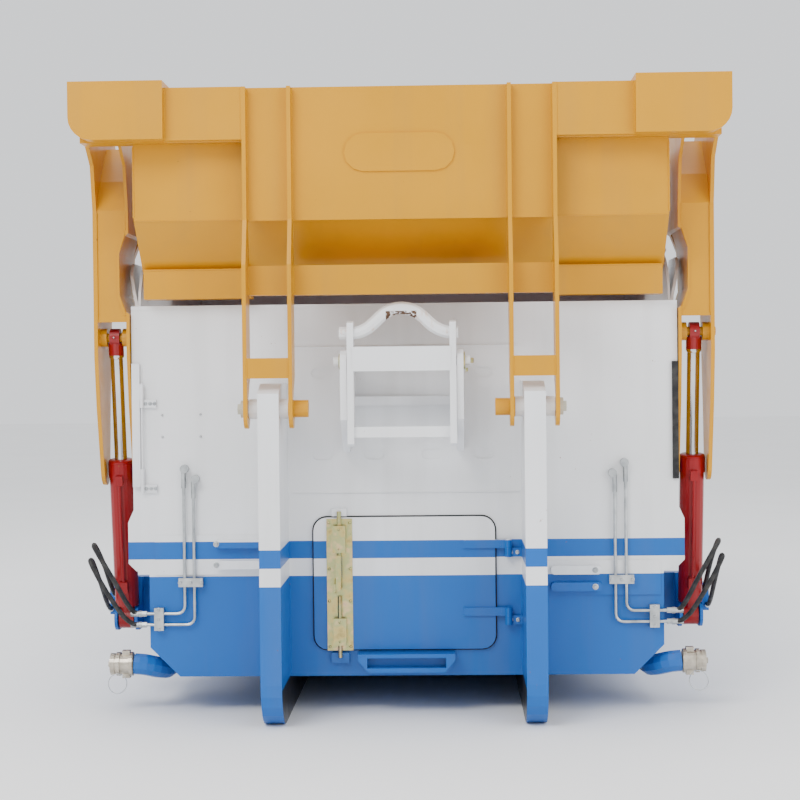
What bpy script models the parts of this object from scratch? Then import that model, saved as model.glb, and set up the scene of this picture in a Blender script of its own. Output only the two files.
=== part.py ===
"""Hook-lift waste compactor with a front tipping hopper, in metres, +Z up.

While it is modelled, Y runs from the front faces of the uprights (Y 0) to the rear.
At the end everything moves forward by half the length, so the origin is the middle of the base.
"""

import math

import bpy
import bmesh
import numpy as np
from mathutils import Vector

GAP = 0.0003                    # air between pieces that touch
LENGTH = 5.25                   # front of the uprights to the back of the rear door
SHEET = 0.006

# skid rails with their front uprights
RAIL_IN, RAIL_OUT = 0.4534, 0.5325
POST_TOP, POST_DEPTH = 1.253, 0.3594
BODY_BOTTOM = 0.145
RAIL_END = 5.20
SKI = 0.17                      # radius of the upturned front end

# front wall
WALL_Y, WALL_TOP, WALL_HALF = 0.36, 1.596, 1.062
STEP_HALF, STEP_TOP, STEP_BOTTOM = 1.0845, 0.75, 0.56
LOWER_HALF, BASE_HALF, CHAMFER_Z = 1.003, 0.887, 0.26

# press chamber and container
CHAMBER_HALF, CHAMBER_IN, CHAMBER_TOP = 1.050, 0.970, 1.580
CONTAINER_Y, CONTAINER_END = 2.10, 5.15
CONTAINER_HALF, CONTAINER_TOP = 1.10, 2.10
CHEEK_TOP = 1.78

# hopper and its pivot
PIVOT_Y, PIVOT_Z = 0.50, 0.95
LIP_TOP, LIP_BOTTOM, LIP_HALF = 2.396, 2.20, 1.227
PANEL_HALF, BEND_Z = 1.009, 1.91
ARM_PLATES = ((0.402, 0.417), (0.570, 0.585))
OUTER_PLATES = ((1.066, 1.078), (1.190, 1.205))
PIN_Y, PIN_Z, PIN_R = 0.07, 1.196, 0.0325

# lift cylinders
CYL_X = 1.135
ROD_EYE = (0.42, 1.476)
BASE_EYE = (0.60, 0.345)
BARREL_R, BORE_R, ROD_R, CYL_PIN_R = 0.048, 0.033, 0.025, 0.018

# hook frame, hatch and rear door
HOOK_PIN = (0.155, 1.37)
HATCH_X, HATCH_Z = (-0.357, 0.349), (0.250, 0.765)
HATCH_Y = 0.345
HATCH_HINGE = (0.400, 0.335)
DOOR_HINGE = (5.215, 2.04)

YELLOW = (0.83, 0.53, 0.008)
WHITE = (0.76, 0.78, 0.80)
BLUE = (0.06, 0.31, 0.66)
RED = (0.45, 0.012, 0.016)
STEEL = (0.62, 0.62, 0.63)
ZINC = (0.55, 0.47, 0.22)
NICKEL = (0.55, 0.50, 0.42)
BLACK = (0.02, 0.02, 0.022)


def material(name, colour, roughness=0.4, metallic=0.0):
    """One Principled BSDF by name, made the first time it is asked for."""
    found = bpy.data.materials.get(name)
    if found:
        return found
    made = bpy.data.materials.new(name)
    made.use_nodes = True
    shader = made.node_tree.nodes["Principled BSDF"]
    shader.inputs["Base Color"].default_value = (*colour, 1)
    shader.inputs["Roughness"].default_value = roughness
    shader.inputs["Metallic"].default_value = metallic
    return made


def yellow():
    return material("yellow_paint", YELLOW)


def white():
    return material("white_paint", WHITE)


def blue():
    return material("blue_paint", BLUE)


def red():
    return material("red_paint", RED)


def steel():
    return material("bright_steel", STEEL, 0.2, 1.0)


def zinc():
    return material("zinc_plate", ZINC, 0.3, 1.0)


def nickel():
    return material("nickel", NICKEL, 0.3, 1.0)


def black():
    return material("black_rubber", BLACK, 0.6)


def object_of(mesh_maker, name="piece"):
    """An object from a function that fills a bmesh."""
    work = bmesh.new()
    mesh_maker(work)
    bmesh.ops.recalc_face_normals(work, faces=work.faces)
    mesh = bpy.data.meshes.new(name)
    work.to_mesh(mesh)
    work.free()
    made = bpy.data.objects.new(name, mesh)
    bpy.context.scene.collection.objects.link(made)
    return made


def point(axis, a, b, along):
    """World point from two outline coordinates and the place along the axis."""
    return {"X": (along, a, b), "Y": (a, along, b), "Z": (a, b, along)}[axis]


def prism(outline, axis, start, end):
    """The outline, pulled along a world axis from start to end."""
    def fill(work):
        low = [work.verts.new(point(axis, a, b, start)) for a, b in outline]
        high = [work.verts.new(point(axis, a, b, end)) for a, b in outline]
        work.faces.new(low)
        work.faces.new(high)
        for i, corner in enumerate(low):
            j = (i + 1) % len(low)
            work.faces.new((corner, low[j], high[j], high[i]))
    return object_of(fill)


def box(x, y, z):
    """A block between pairs of coordinates."""
    return prism([(x[0], y[0]), (x[1], y[0]), (x[1], y[1]), (x[0], y[1])], "Z", *z)


def arc(centre, radius, start, end, steps):
    """Points of an arc, in degrees, both ends included."""
    turns = np.radians(np.linspace(start, end, steps + 1))
    return [(centre[0] + radius * math.cos(t), centre[1] + radius * math.sin(t)) for t in turns]


def bar(axis, centre, radius, start, end, sides=16):
    """A round bar."""
    return prism(arc(centre, radius, 0, 360 - 360 / sides, sides - 1), axis, start, end)


def stadium(centre, length, height, steps=5):
    """A slot outline with round ends, lying along its first coordinate."""
    reach = (length - height) / 2
    right = arc((centre[0] + reach, centre[1]), height / 2, -90, 90, steps)
    left = arc((centre[0] - reach, centre[1]), height / 2, 90, 270, steps)
    return right + left


def rounded(x, z, radius, steps=4):
    """A rectangle outline with round corners."""
    corners = ((x[1], z[1], 0), (x[0], z[1], 90), (x[0], z[0], 180), (x[1], z[0], 270))
    outline = []
    for cx, cz, turn in corners:
        inner = (cx - radius * (1 if cx == x[1] else -1), cz - radius * (1 if cz == z[1] else -1))
        outline += arc(inner, radius, turn, turn + 90, steps)
    return outline


def boolean(target, others, operation):
    """Applies one Boolean after another to the target, and drops the helpers."""
    for other in others:
        step = target.modifiers.new("join", "BOOLEAN")
        step.operation = operation
        step.object = other
        step.solver = "EXACT"
        graph = bpy.context.evaluated_depsgraph_get()
        result = bpy.data.meshes.new_from_object(target.evaluated_get(graph))
        target.modifiers.clear()
        target.data = result
        bpy.data.objects.remove(other)
    return target


def node(name, finish, pieces, cuts=(), origin=None):
    """One named part: the pieces united, the cuts taken away, its origin moved to a joint's axis."""
    body = boolean(pieces[0], pieces[1:], "UNION")
    boolean(body, cuts, "DIFFERENCE")
    body.name = name
    body.data.name = name
    body.data.materials.clear()
    body.data.materials.append(finish)
    body.data.shade_smooth()
    body.data.set_sharp_from_angle(angle=math.radians(32))
    if origin:
        place = Vector(origin)
        for vertex in body.data.vertices:
            vertex.co -= place
        body.location = place
    return body


def pipe(points, radius, sides=8, resolution=4):
    """A round pipe along a smooth curve through these points, as a mesh helper."""
    curve = bpy.data.curves.new("pipe", "CURVE")
    curve.dimensions = "3D"
    curve.bevel_depth = radius
    curve.bevel_resolution = sides // 4
    curve.use_fill_caps = True
    line = curve.splines.new("POLY")
    route = smooth(points, resolution)
    line.points.add(len(route) - 1)
    for spot, place in zip(line.points, route):
        spot.co = (*place, 1)
    carrier = bpy.data.objects.new("pipe", curve)
    bpy.context.scene.collection.objects.link(carrier)
    graph = bpy.context.evaluated_depsgraph_get()
    mesh = bpy.data.meshes.new_from_object(carrier.evaluated_get(graph))
    bpy.data.objects.remove(carrier)
    work = bmesh.new()
    work.from_mesh(mesh)
    bmesh.ops.remove_doubles(work, verts=work.verts, dist=0.00005)
    bmesh.ops.recalc_face_normals(work, faces=work.faces)
    work.to_mesh(mesh)
    work.free()
    made = bpy.data.objects.new("pipe", mesh)
    bpy.context.scene.collection.objects.link(made)
    return made


def smooth(points, resolution):
    """Catmull-Rom points through a route."""
    route = [Vector(p) for p in points]
    ends = [2 * route[0] - route[1]] + route + [2 * route[-1] - route[-2]]
    found = []
    for i in range(1, len(ends) - 2):
        a, b, c, d = ends[i - 1:i + 3]
        for k in range(resolution):
            t = k / resolution
            found.append(0.5 * ((2 * b) + (c - a) * t + (2 * a - 5 * b + 4 * c - d) * t * t
                                + (3 * b - a - 3 * c + d) * t ** 3))
    return found + [route[-1]]


def span(side, near, far):
    """X limits of a piece on one side: side is -1 on the left and 1 on the right."""
    return tuple(sorted((side * near, side * far)))


SIDES = ((-1, "left"), (1, "right"))


# ---- frame -------------------------------------------------------------------------------

def skid_rails():
    for side, word in SIDES:
        ski = arc((SKI, SKI), SKI, 180, 270, 6)
        outline = [(0, POST_TOP), *ski, (RAIL_END, 0), (RAIL_END, BODY_BOTTOM - GAP),
                   (WALL_Y - GAP, BODY_BOTTOM - GAP), (WALL_Y - GAP, 1.29), (0.11, 1.29)]
        beam = prism(outline, "X", *span(side, RAIL_IN, RAIL_OUT))
        hole = bar("X", (PIN_Y, PIN_Z), 0.0378, *span(side, 0.3, 0.7))
        axle = bar("X", (4.90, 0.070), 0.016, *span(side, RAIL_OUT - 0.02, 0.700), sides=12)
        node("skid_rail_" + word, blue(), [beam, axle], [hole])
        roller = bar("X", (4.90, 0.070), 0.065, *span(side, RAIL_OUT + 0.004, 0.690), sides=20)
        bore = bar("X", (4.90, 0.070), 0.0175, *span(side, 0.4, 0.8), sides=12)
        node("rear_roller_" + word, steel(), [roller], [bore], (side * 0.61, 4.90, 0.070))


def post_pins():
    for side, word in SIDES:
        stub = bar("X", (PIN_Y, PIN_Z), PIN_R, *span(side, 0.348, 0.600))
        hub = bar("X", (PIN_Y, PIN_Z), 0.0374, *span(side, 0.4185, 0.5685))
        head = bar("X", (PIN_Y, PIN_Z), 0.022, *span(side, 0.590, 0.612), sides=6)
        node("post_pin_" + word, yellow(), [hub, stub, head])


def front_wall():
    right = [(BASE_HALF, BODY_BOTTOM), (LOWER_HALF, CHAMFER_Z), (LOWER_HALF, STEP_BOTTOM - 0.01),
             (STEP_HALF - 0.03, STEP_BOTTOM), (STEP_HALF, STEP_BOTTOM + 0.03), (STEP_HALF, STEP_TOP),
             (WALL_HALF, 0.80), (WALL_HALF, WALL_TOP)]
    left = [(-x, z) for x, z in reversed(right)]
    sheet = prism(right + left, "Y", WALL_Y, WALL_Y + SHEET)
    lip = box((-WALL_HALF, WALL_HALF), (WALL_Y - 0.002, WALL_Y + 0.020), (CHAMBER_TOP + GAP, WALL_TOP))
    hole = prism(rounded((HATCH_X[0] + 0.03, HATCH_X[1] - 0.03), (HATCH_Z[0] + 0.03, HATCH_Z[1] - 0.03), 0.04),
                 "Y", WALL_Y - 0.05, WALL_Y + 0.05)
    node("front_wall", white(), [sheet, lip], [hole])
    panel = box((-RAIL_IN + GAP, RAIL_IN - GAP), (WALL_Y - 0.0045, WALL_Y - GAP), (0.861, 1.43))
    slots = [prism(stadium((x, z), 0.078, 0.039), "Y", 0.30, 0.40)
             for x, z in ((-0.320, 1.326), (0.306, 1.326), (-0.318, 1.009), (-0.1156, 1.009),
                          (0.1062, 1.009), (0.3085, 1.009))]
    node("hook_backing_plate", white(), [panel], slots)
    edge = box((1.040, 1.0640), (WALL_Y - 0.012, WALL_Y - 0.0025), (0.905, 1.360))
    node("edge_buffer_right", black(), [edge])


def chamber():
    outer = [(BASE_HALF, BODY_BOTTOM), (LOWER_HALF, CHAMFER_Z), (LOWER_HALF, 0.75),
             (CHAMBER_HALF, 0.80), (CHAMBER_HALF, CHAMBER_TOP)]
    inner = [(CHAMBER_IN, CHAMBER_TOP), (CHAMBER_IN, 0.275), (BASE_HALF - 0.014, 0.178)]
    outline = outer + inner
    outline = outline + [(-x, z) for x, z in reversed(outline)]
    trough = prism(outline, "Y", WALL_Y + SHEET + GAP, CONTAINER_Y - GAP)
    sill = box((-0.90, 0.90), (WALL_Y + SHEET + GAP, 0.46), (0.17, 0.215))
    outlets = [box(span(side, 0.920, 1.002), (0.752, 0.830), (0.108, 0.235)) for side, _ in SIDES]
    node("press_chamber", blue(), [trough, sill] + outlets)
    for side, word in SIDES:
        boss = bar("X", (PIVOT_Y, PIVOT_Z), 0.052, *span(side, CHAMBER_HALF + GAP, 1.0650))
        pin = bar("X", (PIVOT_Y, PIVOT_Z), 0.030, *span(side, CHAMBER_HALF + GAP, 1.0810))
        node("hopper_pivot_" + word, blue(), [boss, pin])


def throat_hood():
    profile = [(0.400, CHAMBER_TOP + GAP), *arc((0.62, 1.62), 0.20, 165, 100, 5), (0.95, 1.84),
               (1.20, 2.02), (CONTAINER_Y - GAP, 2.09), (CONTAINER_Y - GAP, CHAMBER_TOP + GAP)]
    cheeks = [prism(profile, "X", *span(side, 1.036, 1.046)) for side, _ in SIDES]
    roof_line = [(1.20, 2.012), (CONTAINER_Y - GAP, 2.082), (CONTAINER_Y - GAP, 2.090), (1.20, 2.020)]
    roof = prism(roof_line, "X", -1.04, 1.04)
    apron = box((-1.04, 1.04), (1.194, 1.202), (1.70, 2.018))
    section = [(1.044, 1.590), (1.056, 1.590), (1.060, 1.620), (1.090, 1.740), (1.092, 1.775), (1.082, 1.775),
               (1.079, 1.742), (1.050, 1.625)]
    flares = [prism([(side * x, z) for x, z in section], "Y", 0.420, 0.760) for side, _ in SIDES]
    scallop = prism([(0.300, 1.570), (0.424, 1.600), (0.440, 1.660), (0.480, 1.720), (0.540, 1.762), (0.600, 1.790),
                     (0.300, 1.850)], "X", -1.2, 1.2)
    node("throat_hood", white(), [cheeks[0], roof, apron, cheeks[1]] + flares, [scallop])


def container():
    def side_line(half, top, bottom, bevel):
        right = [(half - bevel, bottom), (half, bottom + bevel), (half, top - bevel), (half - bevel, top)]
        return right + [(-x, z) for x, z in reversed(right)]
    shell = prism(side_line(CONTAINER_HALF, CONTAINER_TOP, BODY_BOTTOM, 0.05), "Y",
                  CONTAINER_Y, CONTAINER_END)
    hollow = prism(side_line(CHAMBER_IN + 0.05, CONTAINER_TOP - 0.12, BODY_BOTTOM + 0.035, 0.05), "Y",
                   CONTAINER_Y + 0.10, CONTAINER_END + 0.10)
    window = box((-CHAMBER_IN, CHAMBER_IN), (CONTAINER_Y - 0.1, CONTAINER_Y + 0.2), (0.18, 1.30))
    ribs = []
    for y in np.arange(CONTAINER_Y + 0.06, CONTAINER_END, 0.58):
        for side, _ in SIDES:
            ribs.append(box(span(side, CONTAINER_HALF - 0.01, CONTAINER_HALF + 0.04), (y, y + 0.07), (0.22, 2.02)))
    lugs = []
    for x in (-0.75, 0.75):
        lug = prism([(CONTAINER_END - 0.05, 1.99), (DOOR_HINGE[0], 1.99), (DOOR_HINGE[0] + 0.035, 2.02),
                     (DOOR_HINGE[0] + 0.035, 2.075), (CONTAINER_END - 0.05, 2.095)], "X", x - 0.012, x + 0.012)
        lugs.append(lug)
    pins = [bar("X", DOOR_HINGE, 0.016, x - 0.055, x + 0.055, sides=12) for x in (-0.75, 0.75)]
    node("container", blue(), [shell] + ribs + lugs + pins, [hollow, window])


def rear_door():
    slab = box((-1.06, 1.06), (CONTAINER_END + 0.004, CONTAINER_END + 0.030), (0.20, 1.985))
    ribs = [box((-1.02, 1.02), (CONTAINER_END + 0.025, CONTAINER_END + 0.085), (z, z + 0.07))
            for z in (0.26, 0.80, 1.34, 1.86)]
    posts = [box((x - 0.035, x + 0.035), (CONTAINER_END + 0.025, CONTAINER_END + 0.085), (0.24, 1.92))
             for x in (-0.95, 0.95)]
    ears = []
    holes = []
    for centre in (-0.75, 0.75):
        for shift in (-0.036, 0.036):
            x = centre + shift
            ear = [(CONTAINER_END + 0.006, 1.90), (CONTAINER_END + 0.085, 1.90),
                   *arc(DOOR_HINGE, 0.034, -10, 170, 6)]
            ears.append(prism(ear, "X", x - 0.010, x + 0.010))
        holes.append(bar("X", DOOR_HINGE, 0.0175, centre - 0.09, centre + 0.09, sides=12))
    node("rear_door", blue(), [slab] + ribs + posts + ears, holes, (0, *DOOR_HINGE))


def press_ram():
    block = box((-0.955, 0.955), (0.72, 1.42), (0.280, 1.02))
    cavity = box((-0.90, 0.90), (0.60, 1.36), (0.330, 0.98))
    rods = [bar("Y", (x, 0.60), 0.040, 0.56, 1.40) for x in (-0.45, 0.45)]
    ram = node("press_ram", red(), [block], [cavity])
    joined = boolean(ram, rods, "UNION")
    joined.data.set_sharp_from_angle(angle=math.radians(32))
    for x, word in ((-0.45, "left"), (0.45, "right")):
        barrel = bar("Y", (x, 0.60), 0.070, 0.3668, 1.12)
        stand = box((x - 0.05, x + 0.05), (0.3668, 0.45), (0.2155, 0.60))
        bore = bar("Y", (x, 0.60), 0.048, 0.50, 1.30)
        node("press_cylinder_" + word, steel(), [barrel, stand], [bore])


# ---- hopper ------------------------------------------------------------------------------

def hopper_body():
    """The sheet that the bins empty into, with its sides, seen from below while it is raised."""
    sheet = [(0.150, LIP_BOTTOM - GAP), (0.150, BEND_Z), (0.330, 1.7325), (0.400, 1.7325),
             (0.400, 1.7385), (0.336, 1.7385), (0.156, 1.914), (0.156, LIP_BOTTOM - GAP)]
    pan = prism(sheet, "X", -PANEL_HALF, PANEL_HALF)
    cheek = [(0.150, 2.15), (0.150, BEND_Z), (0.330, 1.7325), (0.46, 1.68), (0.80, 1.78),
             (0.96, 2.00), (0.85, LIP_BOTTOM - GAP), (0.150, LIP_BOTTOM - GAP)]
    sides = [prism(cheek, "X", *span(side, PANEL_HALF - 0.008, PANEL_HALF)) for side, _ in SIDES]
    node("hopper_pan", yellow(), [pan] + sides, origin=(0, PIVOT_Y, PIVOT_Z))
    for side, word in SIDES:
        beam = box(span(side, 0.5853, PANEL_HALF - 0.0083), (0.300, 0.400), (1.62, 1.7322))
        node("lower_beam_" + word, yellow(), [beam], origin=(0, PIVOT_Y, PIVOT_Z))
    centre = box((-0.4017, 0.4017), (0.080, 0.130), (1.62, 1.731))
    flange = box((-0.4017, 0.4017), (0.125, 0.290), (1.715, 1.731))
    node("lower_beam_centre", yellow(), [centre, flange], origin=(0, PIVOT_Y, PIVOT_Z))


def lip_beam():
    """The box beam along the hopper's edge, with the wide end plates that carry the bin arms."""
    beam = box((-1.20, 1.20), (0.100, 0.200), (LIP_BOTTOM, LIP_TOP))
    faces = [box(span(side, 0.5853, 0.880), (0.055, 0.110), (LIP_BOTTOM, LIP_TOP)) for side, _ in SIDES]
    plates = []
    for side, _ in SIDES:
        corner = arc((LIP_HALF - 0.085, LIP_BOTTOM + 0.086), 0.085, 270, 360, 6)
        outline = [(side * x, z) for x, z in [(0.874, LIP_BOTTOM + 0.001), *corner, (LIP_HALF, 2.418), (0.874, 2.418)]]
        plates.append(prism(outline, "Y", 0.016, 0.190))
    node("lip_beam", yellow(), [beam] + faces + plates, origin=(0, PIVOT_Y, PIVOT_Z))
    low, high = BEND_Z - 0.01, LIP_TOP
    panel = box((-0.4017, 0.4017), (0.090, 0.0997), (low, high))
    emboss = prism(stadium((0, 2.15), 0.413, 0.142, 6), "Y", 0.083, 0.095)
    node("centre_panel", yellow(), [panel, emboss], origin=(0, PIVOT_Y, PIVOT_Z))


def swept_pin(clearance):
    """Outline of the space that the fixed post pin passes through in the turning arm."""
    reach = math.hypot(PIN_Y - PIVOT_Y, PIN_Z - PIVOT_Z)
    angle = math.degrees(math.atan2(PIN_Z - PIVOT_Z, PIN_Y - PIVOT_Y))
    radius = PIN_R + clearance
    centre = (PIVOT_Y, PIVOT_Z)
    cap = arc((PIN_Y, PIN_Z), radius, angle, angle + 180, 6)
    far_cap_turn = angle - 40
    outer = arc(centre, reach + radius, far_cap_turn, angle, 8)
    inner = arc(centre, reach - radius, angle, far_cap_turn, 8)
    return outer[:-1] + cap + inner[1:]


def inner_arms():
    plate = [(0.0, 1.731), *arc((0.055, 1.178), 0.055, 180, 290, 5), (0.118, 1.18),
             (0.118, 1.60), (0.1303, 1.62), (0.1303, 1.731), (0.0997, 1.90), (0.0997, LIP_TOP),
             (0.052, LIP_TOP), (0.052, 1.90)]
    for side, word in SIDES:
        plates = [prism(plate, "X", *span(side, near, far)) for near, far in ARM_PLATES]
        inside = (ARM_PLATES[0][1] - 0.005, ARM_PLATES[1][0] + 0.005)
        cross = box(span(side, *inside), (0.0, 0.010), (1.31, 1.385))
        beam = box(span(side, *inside), (0.080, 0.120), (1.62, 1.731))
        web = box(span(side, *inside), (0.090, 0.0997), (1.90, LIP_TOP))
        slot = prism(swept_pin(0.003), "X", *span(side, 0.39, 0.60))
        node("hopper_arm_" + word, yellow(), plates + [cross, beam, web], [slot], (0, PIVOT_Y, PIVOT_Z))


def outer_arms():
    """Channel arms outside the body: they turn on the pivots and take the rod eyes."""
    plate = [*arc((PIVOT_Y, PIVOT_Z), 0.060, 200, 340, 6), (0.580, 1.20), (0.640, 1.60), (0.780, 2.10),
             (0.780, 2.235), (0.700, 2.33), (0.2003, 2.33), (0.2003, 2.215), (0.300, 2.140), (0.340, 1.97),
             (0.340, 1.40), (0.372, 1.20)]
    lean = [(0.345, 1.535), (0.345, 1.97), (0.420, 2.09), (0.560, 2.235),
            (0.568, 2.231), (0.428, 2.085), (0.353, 1.967), (0.353, 1.535)]
    jog = [(1.060, 1.885), (1.0785, 1.870), (1.103, 1.800), (1.103, 1.640), (1.0785, 1.575), (1.060, 1.560)]
    jog_plate = [(1.0775, 1.884), (1.086, 1.884), (1.112, 1.805), (1.112, 1.635), (1.086, 1.562), (1.0775, 1.562),
                 (1.1026, 1.640), (1.1026, 1.800)]
    inside = (OUTER_PLATES[0][1] - 0.004, OUTER_PLATES[1][0] + 0.004)
    for side, word in SIDES:
        inner, outer = [prism(plate, "X", *span(side, near, far)) for near, far in OUTER_PLATES]
        web = prism(lean, "X", *span(side, *inside))
        back = prism([(0.600, 1.62), (0.640, 1.62), (0.770, 2.10), (0.770, 2.225), (0.730, 2.225)],
                     "X", *span(side, *inside))
        boolean(inner, [web, back], "UNION")
        notch = prism([(side * x, z) for x, z in jog], "Y", 0.30, 0.80)
        boolean(inner, [notch], "DIFFERENCE")
        folded = prism([(side * x, z) for x, z in jog_plate], "Y", 0.340, 0.640)
        pin = bar("X", ROD_EYE, CYL_PIN_R, *span(side, OUTER_PLATES[0][0] + 0.002, 1.218), sides=14)
        bosses = [bar("X", ROD_EYE, 0.036, *span(side, 1.074, 1.1045)),
                  bar("X", ROD_EYE, 0.036, *span(side, 1.1655, 1.194))]
        hole = bar("X", (PIVOT_Y, PIVOT_Z), 0.0325, *span(side, 1.0, 1.12))
        node("outer_arm_" + word, yellow(), [inner, folded, outer, pin] + bosses, [hole], (0, PIVOT_Y, PIVOT_Z))


# ---- lift cylinders ----------------------------------------------------------------------

def lift_cylinders():
    run = Vector((0, ROD_EYE[0] - BASE_EYE[0], ROD_EYE[1] - BASE_EYE[1]))
    lean = math.atan2(-run.y, run.z)
    reach = run.length
    for side, word in SIDES:
        tube = bar("Z", (0, 0), BARREL_R, 0.057, 0.640, sides=20)
        shank = bar("Z", (0, 0), 0.029, 0.0, 0.070)
        collar = bar("Z", (0, 0), BARREL_R + 0.004, 0.585, 0.645, sides=20)
        foot = bar("X", (0, 0), 0.042, -0.030, 0.030)
        port = box((-0.016, 0.016), (-BARREL_R - 0.020, -BARREL_R + 0.010), (0.120, 0.165))
        line_block = box((-0.014, 0.014), (-BARREL_R - 0.018, -BARREL_R + 0.010), (0.560, 0.600))
        line = bar("Z", (0, -BARREL_R - 0.010), 0.006, 0.130, 0.580, sides=8)
        bore = bar("Z", (0, 0), BORE_R, 0.075, 0.80, sides=20)
        eye = bar("X", (0, 0), CYL_PIN_R + 0.0006, -0.1, 0.1, sides=14)
        barrel = node("cylinder_barrel_" + word, red(), [tube, collar, shank, foot, port, line_block, line], [bore, eye])
        barrel.location = (side * CYL_X, *BASE_EYE)
        barrel.rotation_euler.x = lean
        rod = bar("Z", (0, 0), ROD_R, -reach + 0.300, -0.020, sides=18)
        head = bar("X", (0, 0), 0.036, -0.019, 0.019)
        neck = bar("Z", (0, 0), 0.030, -0.075, -0.020, sides=18)
        hole = bar("X", (0, 0), CYL_PIN_R + 0.0006, -0.1, 0.1, sides=14)
        piston_rod = node("cylinder_rod_" + word, steel(), [rod, neck, head], [hole])
        piston_rod.location = (side * CYL_X, *ROD_EYE)
        piston_rod.rotation_euler.x = lean
        ear = [*arc(BASE_EYE, 0.050, 100, 270, 7), (0.700, 0.295), (0.760, 0.42), (0.760, 0.50), (0.690, 0.50),
               (0.645, 0.395)]
        ears = [prism(ear, "X", *span(side, near, far)) for near, far in ((1.0880, 1.1000), (1.1700, 1.1820))]
        back = box(span(side, LOWER_HALF + GAP, 1.1830), (0.702, 0.760), (0.30, 0.50))
        ports = box(span(side, 1.180, 1.2265), (0.700, 0.762), (0.345, 0.455))
        pin = bar("X", BASE_EYE, CYL_PIN_R, *span(side, 1.089, 1.186), sides=14)
        node("cylinder_bracket_" + word, blue(), [back] + ears + [pin, ports])


# ---- hook frame --------------------------------------------------------------------------

def hook_frame():
    lug = [(WALL_Y - 0.0048, 1.025), (0.250, 1.025), (0.115, 1.150), (0.105, 1.370),
           *arc((HOOK_PIN[0], 1.365), 0.050, 170, 60, 4), (WALL_Y - 0.0048, 1.400)]
    lugs = [prism(lug, "X", *span(side, 0.2070, 0.2320)) for side, _ in SIDES]
    pin = bar("X", HOOK_PIN, 0.018, -0.258, 0.258)
    rest = box((-0.2320, 0.2320), (0.3200, WALL_Y - 0.0048), (1.200, 1.235))
    node("hook_bracket", white(), [lugs[0], pin, lugs[1], rest])
    plate = [(0.095, 1.060), (0.125, 1.050), (0.165, 1.056), (0.185, 1.10), (0.190, 1.40), (0.170, 1.510),
             (0.145, 1.522), (0.112, 1.515), (0.100, 1.45), (0.092, 1.15)]
    plates = [prism(plate, "X", *span(side, 0.1805, 0.2050)) for side, _ in SIDES]
    upper = box((-0.185, 0.185), (0.095, 0.130), (1.333, 1.424))
    lower = box((-0.185, 0.185), (0.110, 0.150), (1.084, 1.124))
    curve = [(-0.235, 0.140, 1.477), (-0.17, 0.140, 1.478), (-0.12, 0.140, 1.500), (-0.060, 0.140, 1.553),
             (0.0, 0.140, 1.570), (0.060, 0.140, 1.553), (0.12, 0.140, 1.500), (0.17, 0.140, 1.478),
             (0.213, 0.140, 1.477)]
    hook_bar = pipe(curve, 0.0245, sides=12, resolution=3)
    hole = bar("X", HOOK_PIN, 0.0186, -0.3, 0.3)
    node("hook_frame", white(), [plates[0], hook_bar, plates[1], upper, lower], [hole], (0, *HOOK_PIN))


# ---- hatch, flap, step and guide bars ----------------------------------------------------

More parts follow.
